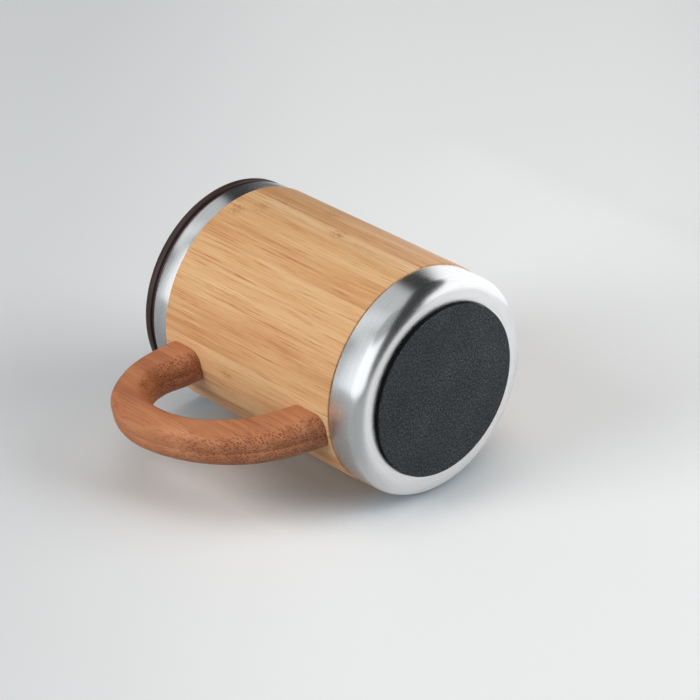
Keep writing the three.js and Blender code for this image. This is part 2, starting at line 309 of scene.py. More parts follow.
# %% [markdown]
# ## Bamboo for the sleeve
# The sleeve is made of narrow strips glued side by side and turned round. Each strip has its own tone,
# its fibres run along the axis, and here and there a strip crosses one of the cane's joints, where the
# fibres curl into a small knot. Drawn marks would look printed, so near a joint the shader bends the fibres
# themselves and darkens them. It unrolls the sleeve by its angle, so strips and fibres follow the curve.

# %% Sleeve bamboo
STRIP_COUNT = 48
STRIP_SHIFT = 0.173
SECOND_DRAW = 0.37
SLEEVE_RADIUS = 40.0
JOINT_LOWEST, JOINT_RANGE = -70 * MM, 260 * MM
KNOT_REACH, KNOT_HEART, KNOT_CURL = 4.2 * MM, 0.6 * MM, 4.2 * MM
FIBRE_WANDER = 1.2 * MM


def sleeve_bamboo():
    finish = Finish("sleeve_bamboo")
    x, y, z = finish.place()
    turn = y.math("ARCTAN2", x)
    across = turn * (SLEEVE_RADIUS * MM)
    strips = turn * (STRIP_COUNT / (2 * math.pi)) + STRIP_COUNT
    strip = strips.math("FLOOR")
    inside = strips - strip
    tone = finish.node("TexWhiteNoise", {"noise_dimensions": "1D"}, {"W": strip})
    chance = finish.node("TexWhiteNoise", {"noise_dimensions": "1D"}, {"W": strip + SECOND_DRAW})
    shift = strip * STRIP_SHIFT
    joint_height = chance * JOINT_RANGE + JOINT_LOWEST
    near_joint = finish.smooth((z - joint_height).math("ABSOLUTE"), KNOT_REACH, KNOT_HEART)
    curl = finish.noise(finish.vector(across, shift, z), scale=620, detail=2, roughness=0.6) - 0.5
    cloud = finish.noise(finish.vector(across, shift, z * 0.3), scale=60, detail=2, roughness=0.5)
    bent = across + (cloud - 0.5) * FIBRE_WANDER + curl * near_joint * KNOT_CURL
    fibre = finish.noise(finish.vector(bent, shift, z * 0.018), scale=2200, detail=4, roughness=0.72)
    streak = finish.noise(finish.vector(bent, shift, z * 0.05), scale=420, detail=3, roughness=0.55)
    warmth = tone * 0.4 + streak * 0.6 + cloud * 0.4 - 0.33
    ground = finish.ramp(
        warmth,
        (0.12, rgb(206, 150, 98)),
        (0.36, rgb(226, 176, 124)),
        (0.6, rgb(234, 192, 143)),
        (0.85, rgb(243, 211, 167)),
    )
    dark_fibre = finish.smooth(fibre, 0.53, 0.65) * 0.8
    grained = finish.mix(dark_fibre, ground, rgb(186, 118, 70))
    pale_fibre = finish.smooth(fibre, 0.44, 0.32) * 0.5
    grained = finish.mix(pale_fibre, grained, rgb(246, 216, 172))
    knot = near_joint * finish.smooth(fibre, 0.46, 0.56) * 0.65
    marked = finish.mix(knot, grained, rgb(170, 104, 60))
    seam = finish.smooth((inside - 0.5).math("ABSOLUTE"), 0.475, 0.5) * 0.35
    colour = finish.mix(seam, marked, rgb(168, 108, 64))
    grain = fibre * 0.7 + streak * 0.3
    return finish.principled({
        "Base Color": colour,
        "Roughness": 0.4 + fibre * 0.16,
        "Normal": finish.bump(grain, 0.18, 0.12 * MM),
    })


# %% [markdown]
# ## Bamboo for the handle
# The handle is sawn from a darker, steamed board whose fibres also run along the mug's axis. Where the
# rounded board faces the foot or the lid, the saw cuts across the fibres and their ends show as dots.
# A solid pattern stretched along Z gives both at once: dots on the ends, streaks on the sides.


# %% Handle bamboo
def handle_bamboo():
    finish = Finish("handle_bamboo")
    x, y, z = finish.place()
    wander = finish.noise(finish.vector(x, y, z * 0.2), scale=140, detail=2, roughness=0.5) - 0.5
    aside = wander * FIBRE_WANDER
    along = finish.vector(x + aside, y + aside, z * 0.028)
    fibre = finish.noise(along, scale=1300, detail=4, roughness=0.7)
    streak = finish.noise(along, scale=300, detail=3, roughness=0.5)
    cloud = finish.noise(finish.vector(x, y, z), scale=46, detail=2, roughness=0.5)
    ground = finish.ramp(
        streak * 0.6 + cloud * 0.5 - 0.05,
        (0.25, rgb(158, 94, 61)),
        (0.48, rgb(190, 122, 82)),
        (0.66, rgb(208, 141, 97)),
        (0.85, rgb(220, 157, 111)),
    )
    grained = finish.mix(finish.smooth(fibre, 0.5, 0.7) * 0.6, ground, rgb(132, 76, 48))
    cells = finish.node("TexVoronoi", {"feature": "F1"}, {"Vector": along, "Scale": 1800})
    facing_out = finish.node("TexCoord", out="Normal")
    end_grain = finish.node("SeparateXYZ", None, {0: facing_out}, out="Z").math("ABSOLUTE")
    pore = finish.smooth(cells, 0.44, 0.24) * finish.smooth(streak, 0.24, 0.4)
    pore = pore * finish.smooth(end_grain, 0.12, 0.6, 0.12, 1.0)
    colour = finish.mix(pore * 0.9, grained, rgb(96, 46, 27))
    return finish.principled({
        "Base Color": colour,
        "Roughness": 0.38 + fibre * 0.18,
        "Normal": finish.bump(fibre * 0.5 - pore, 0.3, 0.12 * MM),
    })


# %% [markdown]
# ## Brushed steel
# The steel was brushed while it turned, so fine scratches run round the axis on the wall and on the flat
# ring alike. Noise that hardly changes with the angle, but quickly with radius and height, draws them.


# %% Brushed steel
def brushed_steel():
    finish = Finish("brushed_steel")
    x, y, z = finish.place()
    turn = y.math("ARCTAN2", x)
    radius = (x * x + y * y).math("SQRT")
    lines = finish.noise(finish.vector(turn * 0.0011, radius, z), scale=3200, detail=3, roughness=0.65)
    bands = finish.noise(finish.vector(turn * 0.002, radius, z), scale=700, detail=2, roughness=0.5)
    return finish.principled({
        "Base Color": finish.ramp(lines, (0.3, rgb(232, 234, 235)), (0.7, rgb(246, 247, 248))),
        "Metallic": 1.0,
        "Roughness": 0.22 + lines * 0.05 + bands * 0.04,
        "Anisotropic": 0.8,
        "Anisotropic Rotation": 0.25,
        "Normal": finish.bump(lines, 0.05, 0.02 * MM),
    })


# %% [markdown]
# ## Foam, plastic, silicone and dowel wood
# The foot is a die-cut foam sheet: nearly black, matt, with a fine open texture, and its side wall is
# darkened with painted shade. The lid is satin moulded plastic, very dark brown. The silicone ring is milky,
# and the dowels inside the handle are raw beech.


# %% Small finishes
# Between these heights the pad's side wall turns to painted shade.
FACE_DEPTH, WALL_SHADE_START = 0.25 * MM, 0.5 * MM


def foot_foam():
    finish = Finish("foot_foam")
    x, y, z = finish.place()
    spot = finish.vector(x, y, z)
    grit = finish.noise(spot, scale=1500, detail=5, roughness=0.85)
    patch = finish.noise(spot, scale=70, detail=2, roughness=0.5)
    cells = finish.node("TexVoronoi", {"feature": "F1"}, {"Vector": spot, "Scale": 1100})
    pit = finish.smooth(cells, 0.32, 0.12)
    shade = grit * 0.9 + patch * 0.08 + 0.01
    ground = finish.ramp(shade, (0.36, rgb(32, 35, 38)), (0.5, rgb(62, 66, 69)), (0.64, rgb(116, 120, 123)))
    pitted = finish.mix(pit * 0.75, ground, rgb(18, 20, 23))
    # Painted shade: the side wall of the pad is darkened to near black.
    painted_shade_wall = finish.smooth(z, FACE_DEPTH, WALL_SHADE_START)
    return finish.principled({
        "Base Color": finish.mix(painted_shade_wall * 0.9, pitted, rgb(10, 11, 13)),
        "Roughness": 0.94,
        "Specular IOR Level": 0.25,
        "Normal": finish.bump(grit * 0.8 - pit, 0.6, 0.2 * MM),
    })


def lid_plastic():
    finish = Finish("lid_plastic")
    x, y, z = finish.place()
    spot = finish.vector(x, y, z)
    haze = finish.noise(spot, scale=120, detail=2, roughness=0.5)
    spark = finish.noise(spot, scale=2600, detail=2, roughness=0.6)
    return finish.principled({
        "Base Color": finish.ramp(haze, (0.3, rgb(50, 36, 33)), (0.7, rgb(60, 44, 40))),
        "Roughness": 0.36 + haze * 0.1,
        "Normal": finish.bump(spark, 0.12, 0.04 * MM),
    })


def seal_silicone():
    finish = Finish("seal_silicone")
    x, y, z = finish.place()
    haze = finish.noise(finish.vector(x, y, z), scale=160, detail=2, roughness=0.5)
    return finish.principled({
        "Base Color": finish.ramp(haze, (0.3, rgb(196, 194, 188)), (0.7, rgb(212, 210, 204))),
        "Roughness": 0.5 + haze * 0.1,
    })


def dowel_wood():
    finish = Finish("dowel_wood")
    x, y, z = finish.place()
    fibre = finish.noise(finish.vector(x * 0.04, y, z), scale=1500, detail=3, roughness=0.6)
    return finish.principled({
        "Base Color": finish.ramp(fibre, (0.3, rgb(206, 176, 130)), (0.7, rgb(226, 200, 158))),
        "Roughness": 0.7,
    })


STEEL = brushed_steel()
PLASTIC = lid_plastic()
print("finishes:", [material.name for material in bpy.data.materials])

# %% [markdown]
# ## The turned body
# Foot pad, base cup, outer shell, liner and sleeve share one axis. Each profile below is in millimetres,
# and only the edges that a hand or the light finds are rounded.

# %% Foot pad
PAD_RADIUS = 31.0
PAD_THICKNESS = 2.0
PAD_EDGE = 0.35
pad = spun([(0, 0), (PAD_RADIUS, 0), (PAD_RADIUS, PAD_THICKNESS), (0, PAD_THICKNESS)], closed=False)
soften(pad, [(PAD_RADIUS, 0, PAD_EDGE)])
finished("foot_pad_foam", pad, "mug", foot_foam(), "foot_pad")

# %% Base cup
SLEEVE_LOW = 15.2
STEEL_RADIUS = 39.6
BASE_WALL = 0.8
BASE_FILLET = 4.8
RING_FACE = 1.7
RECESS_RADIUS = 31.1
RECESS_EDGE = 0.25
COLLAR_RADIUS = 36.5
STEEL_EDGE = 0.4
inner_wall = STEEL_RADIUS - BASE_WALL
cup = spun(
    [
        (0, PAD_THICKNESS),
        (RECESS_RADIUS, PAD_THICKNESS),
        (RECESS_RADIUS, RING_FACE),
        (STEEL_RADIUS, RING_FACE),
        (STEEL_RADIUS, SLEEVE_LOW),
        (COLLAR_RADIUS, SLEEVE_LOW),
        (COLLAR_RADIUS, SLEEVE_LOW - BASE_WALL),
        (inner_wall, SLEEVE_LOW - BASE_WALL),
        (inner_wall, RING_FACE + BASE_WALL),
        (RECESS_RADIUS + BASE_WALL, RING_FACE + BASE_WALL),
        (RECESS_RADIUS + BASE_WALL, PAD_THICKNESS + BASE_WALL),
        (0, PAD_THICKNESS + BASE_WALL),
    ],
    closed=False,
)
outer_shoulder = (STEEL_RADIUS, RING_FACE, BASE_FILLET)
inner_shoulder = (inner_wall, RING_FACE + BASE_WALL, BASE_FILLET - BASE_WALL)
soften(cup, [outer_shoulder, inner_shoulder], segments=12)
soften(cup, [(RECESS_RADIUS, RING_FACE, RECESS_EDGE), (STEEL_RADIUS, SLEEVE_LOW, STEEL_EDGE)])
finished("base_cup_steel", cup, "mug", STEEL, "base_cup")

# %% Outer shell
SLEEVE_TOP = 97.0
STEEL_WALL = 0.6
RIM_TOP = 104.6
SHELL_RADIUS = 36.2
SHELL_FOOT = 34.5
SHELL_TAPER = 3.0
LIP_RADIUS = 38.2
LIP_EDGE = 0.8
shell_bore = SHELL_RADIUS - STEEL_WALL
band_bore = STEEL_RADIUS - STEEL_WALL
lip_top = RIM_TOP - STEEL_WALL
shell_low = RING_FACE + BASE_WALL
shell = spun([
    (SHELL_FOOT, shell_low),
    (SHELL_RADIUS, shell_low + SHELL_TAPER),
    (SHELL_RADIUS, SLEEVE_TOP),
    (STEEL_RADIUS, SLEEVE_TOP),
    (STEEL_RADIUS, lip_top),
    (LIP_RADIUS, lip_top),
    (LIP_RADIUS, lip_top - STEEL_WALL),
    (band_bore, lip_top - STEEL_WALL),
    (band_bore, SLEEVE_TOP + STEEL_WALL),
    (shell_bore, SLEEVE_TOP + STEEL_WALL),
    (shell_bore, shell_low + SHELL_TAPER),
    (SHELL_FOOT - STEEL_WALL, shell_low),
])
soften(shell, [(STEEL_RADIUS, SLEEVE_TOP, STEEL_EDGE), (STEEL_RADIUS, lip_top, LIP_EDGE)])
finished("outer_shell_steel", shell, "mug", STEEL, "outer_shell")

# %% Inner liner
LINER_RADIUS = 34.6
LINER_LIFT = 5.0
LINER_FILLET = 4.0
MOUTH_FLARE = 3.6
FLARE_STEPS = 6
RIM_RADIUS = 38.9
RIM_EDGE = 0.28
FLARE_HEIGHT = 5.0


def flare(radius, low, top):
    """Corners of a mouth that opens out on a quadratic curve."""
    corners = []
    for step in range(FLARE_STEPS + 1):
        share = step / FLARE_STEPS
        rise = 2 * share * (1 - share) * (low + FLARE_HEIGHT / 2)
        corners.append((radius + MOUTH_FLARE * share**2, low * (1 - share) ** 2 + rise + top * share**2))
    return corners


bore = LINER_RADIUS - STEEL_WALL
flare_low = RIM_TOP - STEEL_WALL - FLARE_HEIGHT
floor_edge = LINER_RADIUS - LINER_FILLET
liner = spun([
    (floor_edge, LINER_LIFT),
    (LINER_RADIUS, LINER_LIFT),
    *flare(LINER_RADIUS, flare_low, lip_top),
    (RIM_RADIUS, lip_top),
    (RIM_RADIUS, RIM_TOP),
    *reversed(flare(bore, flare_low, RIM_TOP)),
    (bore, LINER_LIFT + STEEL_WALL),
    (floor_edge, LINER_LIFT + STEEL_WALL),
])
outer_bend = (LINER_RADIUS, LINER_LIFT, LINER_FILLET)
inner_bend = (bore, LINER_LIFT + STEEL_WALL, LINER_FILLET - STEEL_WALL)
soften(liner, [outer_bend, inner_bend], segments=8)
soften(liner, [(RIM_RADIUS, RIM_TOP, RIM_EDGE)])
finished("inner_liner_steel", liner, "mug", STEEL, "inner_liner")

# %% Liner floor
WELD_SEAM = 0.1
WELD_EDGE = 0.1
disc_edge = floor_edge - WELD_SEAM
disc_top = LINER_LIFT + STEEL_WALL
disc = spun([(0, LINER_LIFT), (disc_edge, LINER_LIFT), (disc_edge, disc_top), (0, disc_top)], closed=False)
soften(disc, [(disc_edge, disc_top, WELD_EDGE)], segments=2)
finished("liner_floor_steel", disc, "mug", STEEL, "liner_floor")

# %% Sleeve
SLEEVE_BORE = 36.6
SLEEVE_EDGE = 0.35
SLEEVE_STEPS = 4 * STRIP_COUNT
sleeve = spun(
    [
        (SLEEVE_BORE, SLEEVE_LOW),
        (SLEEVE_RADIUS, SLEEVE_LOW),
        (SLEEVE_RADIUS, SLEEVE_TOP),
        (SLEEVE_BORE, SLEEVE_TOP),
    ],
    steps=SLEEVE_STEPS,
)
soften(sleeve, [(SLEEVE_RADIUS, height, SLEEVE_EDGE) for height in (SLEEVE_LOW, SLEEVE_TOP)])
finished("bamboo_sleeve_strips", sleeve, "mug", sleeve_bamboo(), "bamboo_sleeve")

# %% [markdown]
# ## The handle
# The handle is an ear of thick board. Its edges were rounded from both faces with a cutter, which leaves
# a shallow groove along the middle of each side. A ring of vertices with that section is extruded from
# station to station along the centre line, and the two end rings are slid onto the sleeve, as a saddle cut
# would. A station is a share of the reach, a share of the sleeve's length and a share of the width.

# %% Handle sweep
HANDLE_REACH = 32.4
HANDLE_WIDTH = 13.0
HANDLE_STATIONS = [
    (-0.123, 0.866, 1.43),
    (0.123, 0.893, 1.17),
    (0.37, 0.918, 1),
    (0.623, 0.909, 0.97),
    (0.883, 0.843, 1),
    (1, 0.694, 0.954),
    (0.904, 0.482, 0.892),
    (0.63, 0.295, 1.03),
    (0.272, 0.175, 1.177),
    (-0.123, 0.103, 1.23),
]
HANDLE_HALF = 6.75
SIDE_FLAT = 1.5
GROOVE_SIDE = [(0.3, 0.05), (0.13, 0.4), (0.03, 0.9)]
ROUND_SHARE = 0.6
GLUE_GAP = 0.3
SADDLE_CLEARANCE = 1.0
STEPS_PER_STATION = 8
ROUND_STEPS = 8


def quarter_section(half):
    """One quarter of the section: distance in from the side, and height from the middle."""
    quarter = [*GROOVE_SIDE, (0, SIDE_FLAT)]
    for step in range(1, ROUND_STEPS + 1):
        turn = math.pi / 2 * step / ROUND_STEPS
        rise = SIDE_FLAT + (HANDLE_HALF - SIDE_FLAT) * math.sin(turn)
        quarter.append((ROUND_SHARE * half * (1 - math.cos(turn)), rise))
    return quarter


def station_point(index):
    """A station as distance out from the axis, height and width, in millimetres."""
    out, share, width = HANDLE_STATIONS[max(0, min(index, len(HANDLE_STATIONS) - 1))]
    height = SLEEVE_LOW + share * (SLEEVE_TOP - SLEEVE_LOW)
    return Vector((SLEEVE_RADIUS + out * HANDLE_REACH, height, width * HANDLE_WIDTH))


def centre_line(position):
    """A smooth curve through the stations: its point and its direction."""
    index = min(int(position), len(HANDLE_STATIONS) - 2)
    share = position - index
    before, start, end, after = (station_point(index + step) for step in (-1, 0, 1, 2))
    leave, arrive = (end - before) / 2, (after - start) / 2
    bend = 3 * (end - start) - 2 * leave - arrive
    close = 2 * (start - end) + leave + arrive
    point = start + leave * share + bend * share**2 + close * share**3
    slope = leave + 2 * bend * share + 3 * close * share**2
    return point, Vector((slope.x, slope.y)).normalized()


def ring_places(position):
    """Where the section's vertices lie at a place along the centre line, and the line's direction."""
    point, direction = centre_line(position)
    across = Vector((-direction.y, direction.x))
    half = point.z / 2
    quarter = quarter_section(half)
    rim = [(half - inset, rise) for inset, rise in quarter]
    rim += [(inset - half, rise) for inset, rise in reversed(quarter)]
    rim += [(inset - half, -rise) for inset, rise in quarter]
    rim += [(half - inset, -rise) for inset, rise in reversed(quarter)]
    places = [Vector((point.x + across.x * off, rise, point.y + across.y * off)) for off, rise in rim]
    return places, direction


def on_saddle(place, direction):
    """Slides a section point along the centre line onto the sleeve's surface."""
    surface = math.sqrt((SLEEVE_RADIUS + GLUE_GAP) ** 2 - place.y**2)
    slide = (surface - place.x) / direction.x
    return Vector((surface, place.y, place.z + direction.y * slide))


def sweep_positions():
    """Places along the centre line whose whole section lies clear of the sleeve."""
    last = len(HANDLE_STATIONS) - 1
    steps = last * STEPS_PER_STATION
    positions = [last * step / steps for step in range(steps + 1)]
    clear = SLEEVE_RADIUS + SADDLE_CLEARANCE
    return [at for at in positions if min(place.x for place in ring_places(at)[0]) > clear]


def on_mug(place):
    """A place of the handle in metres, on the mug's -X side."""
    return Vector((-place.x, place.y, place.z)) * MM


def neighbour(vert, group):
    """The vertex of a group that shares an edge with a vertex."""
    return next(other for other in (edge.other_vert(vert) for edge in vert.link_edges) if other in group)


def swept_handle():
    """The board as one closed shape, extruded ring by ring."""
    positions = sweep_positions()
    rings = [ring_places(position)[0] for position in positions]
    first, first_way = ring_places(positions[0])
    last, last_way = ring_places(positions[-1])
    rings.insert(0, [on_saddle(place, first_way) for place in first])
    rings.append([on_saddle(place, last_way) for place in last])
    shape = bmesh.new()
    loop = [shape.verts.new(on_mug(place)) for place in rings[0]]
    edges = [shape.edges.new(pair) for pair in zip(loop, loop[1:] + loop[:1])]
    shape.faces.new(loop)
    for ring in rings[1:]:
        made = bmesh.ops.extrude_edge_only(shape, edges=edges)["geom"]
        fresh = {item for item in made if isinstance(item, bmesh.types.BMVert)}
        edges = [item for item in made if isinstance(item, bmesh.types.BMEdge)]
        edges = [edge for edge in edges if fresh.issuperset(edge.verts)]
        loop = [neighbour(old, fresh) for old in loop]
        for vert, place in zip(loop, ring):
            vert.co = on_mug(place)
    shape.faces.new(loop)
    bmesh.ops.recalc_face_normals(shape, faces=shape.faces)
    return shape


finished("handle_board", swept_handle(), "mug", handle_bamboo(), "handle")

# %% Dowels
DOWEL = dowel_wood()
for name in ("handle_dowel_upper", "handle_dowel_lower"):
    frame["nodes"][name].data.materials.clear()
    frame["nodes"][name].data.materials.append(DOWEL)
print("dowels keep their shape")

# %% [markdown]
# ## The lid
# The lid presses into the mouth. Its flange floats over the rim with a dark shadow gap. On top a slider
# runs in an undercut track and covers the sip hole. The lid is turned first, and the track, the hole and
# the vent are then cut out with boolean tools, which is how a mould maker would think of them.

# %% Lid
LID_TOP = 108.9
LID_CROWN = 1.2
FLANGE_RADIUS = 39.4
FLANGE_EDGE = 0.5
NECK_RADIUS = 38.6
FLANGE_LOW = 105.8
PLUG_RADIUS = 33.0
PLUG_BORE = 30.6
PLUG_LOW = 91.0
PLUG_EDGE = 0.4
GROOVE_LOW = 93.0
GROOVE_TOP = 96.0
GROOVE_RADIUS = 31.6
PLUG_FLARE = 99.4
SEAT_RADIUS = 36.6
TRACK_FLOOR = 106.2
LID_UNDERSIDE = 104.2
TRACK_LENGTH = 42.6
TRACK_END = 31.3
UNDERCUT_HEIGHT = 1.2
SLIDER_WIDTH = 15.4
SLIDER_FLANGE = 1.1
SLIDER_CLEARANCE = 0.1
SLIDER_CORNER = 2.5
SIP_LENGTH, SIP_WIDTH, SIP_CORNER, SIP_INSET = 8.0, 13.0, 3.6, 2.7
SIP_LOW = 99.0
VENT_PLACE = -24.0
VENT_RADIUS = 1.5
VENT_DEPTH = 20.0
CUT_ABOVE = LID_TOP + 4.0
CORNER_STEPS, EDGE_STEPS = 8, 3
SAME_HEIGHT = 0.01


def rounded_plate(length, width, round_by, centre, low, high, edge=0.0):
    """A plate with rounded corners, its length along X, and softened top edges if edge is given."""
    shape = bmesh.new()
    bmesh.ops.create_cube(shape, size=1.0)
    bmesh.ops.scale(shape, vec=(length * MM, width * MM, (high - low) * MM), verts=shape.verts)
    bmesh.ops.translate(shape, vec=(centre * MM, 0, (low + high) / 2 * MM), verts=shape.verts)
    tall = (high - low) / 2 * MM
    upright = [side for side in shape.edges if abs(side.verts[0].co.z - side.verts[1].co.z) > tall]
    round_edges(shape, upright, round_by, CORNER_STEPS)
    if edge:
        level = (high - SAME_HEIGHT) * MM
        top = [side for side in shape.edges if all(vert.co.z > level for vert in side.verts)]
        round_edges(shape, top, edge, EDGE_STEPS)
    return shape


def combine(shape, tool, operation):
    """Applies a boolean to a shape and returns the result as a new shape."""
    target = placed("target", shape)
    cutter = placed("cutter", tool)
    change = target.modifiers.new("change", "BOOLEAN")
    change.operation = operation
    change.solver = "EXACT"
    change.use_self = True
    change.object = cutter
    bpy.context.view_layer.update()
    result = bpy.data.meshes.new_from_object(target.evaluated_get(bpy.context.evaluated_depsgraph_get()))
    made = bmesh.new()
    made.from_mesh(result)
    bpy.data.objects.remove(target)
    bpy.data.objects.remove(cutter)
    bpy.data.meshes.remove(result)
    return made


def turned_lid():
    """The lid before its cuts."""
    shape = spun(
        [
            (0, LID_UNDERSIDE),
            (PLUG_BORE, LID_UNDERSIDE),
            (PLUG_BORE, PLUG_LOW),
            (PLUG_RADIUS, PLUG_LOW),
            (PLUG_RADIUS, GROOVE_LOW),
            (GROOVE_RADIUS, GROOVE_LOW),
            (GROOVE_RADIUS, GROOVE_TOP),
            (PLUG_RADIUS, GROOVE_TOP),
            (PLUG_RADIUS, PLUG_FLARE),
            (SEAT_RADIUS, RIM_TOP),
            (NECK_RADIUS, RIM_TOP),
            (NECK_RADIUS, FLANGE_LOW),
            (FLANGE_RADIUS, FLANGE_LOW),
            (FLANGE_RADIUS, LID_TOP),
            (0, LID_TOP),
        ],
        closed=False,
    )
    soften(shape, [(FLANGE_RADIUS, LID_TOP, LID_CROWN)], segments=6)
    soften(shape, [(FLANGE_RADIUS, FLANGE_LOW, FLANGE_EDGE)])
    soften(shape, [(radius, PLUG_LOW, PLUG_EDGE) for radius in (PLUG_RADIUS, PLUG_BORE)])
    return shape


def lid_cuts():
    """What is taken out of the lid: the track's undercut and opening, the sip hole and the vent."""
    centre = TRACK_END - TRACK_LENGTH / 2
    opening = SLIDER_WIDTH + 2 * SLIDER_CLEARANCE
    undercut = opening + 2 * SLIDER_FLANGE
    undercut_top = TRACK_FLOOR + UNDERCUT_HEIGHT
    opening_low = TRACK_FLOOR + UNDERCUT_HEIGHT / 2
    vent = bmesh.new()
    bmesh.ops.create_cone(
        vent, cap_ends=True, segments=32, radius1=VENT_RADIUS * MM, radius2=VENT_RADIUS * MM,
        depth=VENT_DEPTH * MM,
    )
    bmesh.ops.translate(vent, vec=(VENT_PLACE * MM, 0, LID_TOP * MM), verts=vent.verts)
    sip_centre = TRACK_END - SIP_INSET - SIP_LENGTH / 2
    return [
        rounded_plate(TRACK_LENGTH, undercut, SLIDER_CORNER, centre, TRACK_FLOOR, undercut_top),
        rounded_plate(TRACK_LENGTH, opening, SLIDER_CORNER, centre, opening_low, CUT_ABOVE),
        rounded_plate(SIP_LENGTH, SIP_WIDTH, SIP_CORNER, sip_centre, SIP_LOW, CUT_ABOVE),
        vent,
    ]


lid_shape = turned_lid()
for cut in lid_cuts():
    lid_shape = combine(lid_shape, cut, "DIFFERENCE")
finished("lid_moulding", lid_shape, "lid", PLASTIC, "lid_body")

# %% Gasket
GASKET_OUTER = 33.85
GASKET_INNER = 31.75
GASKET_VALLEY = 33.2
GASKET_TOP = 95.8
GASKET_EDGE = 0.2
lip = (GASKET_TOP - GROOVE_LOW) / 4
gasket = spun([
    (GASKET_INNER, GROOVE_LOW),
    (GASKET_VALLEY, GROOVE_LOW),
    (GASKET_OUTER, GROOVE_LOW + lip),
    (GASKET_VALLEY, GROOVE_LOW + 2 * lip),
    (GASKET_OUTER, GROOVE_LOW + 3 * lip),
    (GASKET_VALLEY, GASKET_TOP),
    (GASKET_INNER, GASKET_TOP),
])
soften(gasket, [(GASKET_OUTER, GROOVE_LOW + step * lip, GASKET_EDGE) for step in (1, 3)])
finished("lid_gasket_ring", gasket, "lid", seal_silicone(), "lid_gasket")

# %% Slider
SLIDER_LENGTH = 30.0
SLIDER_DROP = 0.2
SLIDER_TOP = LID_TOP - SLIDER_DROP
SLIDER_STOP = 0.3
SLIDER_EDGE = 0.25
RUNNER_HEIGHT = 1.0
THUMB_LENGTH, THUMB_WIDTH, THUMB_HEIGHT, THUMB_INSET = 6.0, 12.0, 2.0, 3.0
THUMB_EDGE = 0.6
runner_width = SLIDER_WIDTH + 2 * SLIDER_FLANGE
slider_centre = TRACK_END - SLIDER_STOP - SLIDER_LENGTH / 2
slider_low = TRACK_FLOOR + SLIDER_CLEARANCE
plate_low = slider_low + RUNNER_HEIGHT / 2
thumb_centre = slider_centre - SLIDER_LENGTH / 2 + THUMB_INSET + THUMB_LENGTH / 2
thumb_low = SLIDER_TOP - THUMB_EDGE
thumb_top = SLIDER_TOP + THUMB_HEIGHT
runner = rounded_plate(
    SLIDER_LENGTH, runner_width, SLIDER_CORNER, slider_centre, slider_low, slider_low + RUNNER_HEIGHT,
)
top_plate = rounded_plate(
    SLIDER_LENGTH, SLIDER_WIDTH, SLIDER_CORNER, slider_centre, plate_low, SLIDER_TOP, SLIDER_EDGE,
)
thumb = rounded_plate(
    THUMB_LENGTH, THUMB_WIDTH, SLIDER_CORNER, thumb_centre, thumb_low, thumb_top, THUMB_EDGE,
)
slider_shape = combine(runner, top_plate, "UNION")
slider_shape = combine(slider_shape, thumb, "UNION")
finished("lid_slider_plate", slider_shape, "slider", PLASTIC, "lid_slider")

# %% [markdown]
# ## Floor, light and background
# The floor is a pale sheet that touches the sleeve. Its back is see-through and its rim fades out, so that
# it hides nothing when the mug is looked at from behind. Close to the mug its colour is cooler and darker: a
# painted contact shadow. Away from its middle it darkens as painted light falloff. Shiny surfaces see it in
# painted reflection tones of their own, and matt ones don't see it: they get the room's light in its place.
# Four soft boxes and a pale room light the mug.

# %% Floor
FLOOR_SIZE = 0.9
FLOOR_SEGMENTS = 96
FLOOR_COLOUR = rgb(250, 251, 251)
# Painted light falloff: the paper's tone far from its middle.
FLOOR_PAINTED_FALLOFF = rgb(230, 232, 233)
FLOOR_MIDDLE = 30 * MM
FAR_START, FAR_END = 50 * MM, 200 * MM
# Painted contact shadow: the paper's colour where the mug closes off the room.
FLOOR_PAINTED_CONTACT_SHADOW = rgb(176, 186, 194)
CONTACT_REACH = 30 * MM
CONTACT_SHUT, CONTACT_OPEN = 0.2, 0.9
# Painted reflection tones: the paper as mirrors see it, brighter than the eye sees it, with painted shadow
# and painted dimming.
FLOOR_MIRROR_PAINTED_LIGHT = rgb(252, 252, 252)
FLOOR_MIRROR_PAINTED_SHADOW = rgb(172, 174, 175)
SHADE_START, SHADE_END = -20 * MM, 60 * MM
FLOOR_MIRROR_PAINTED_DIM = rgb(120, 122, 123)
DIM_START, DIM_END = -130 * MM, -280 * MM
RIM_FADE_START, RIM_FADE_END = FLOOR_SIZE * 0.6, FLOOR_SIZE * 0.95


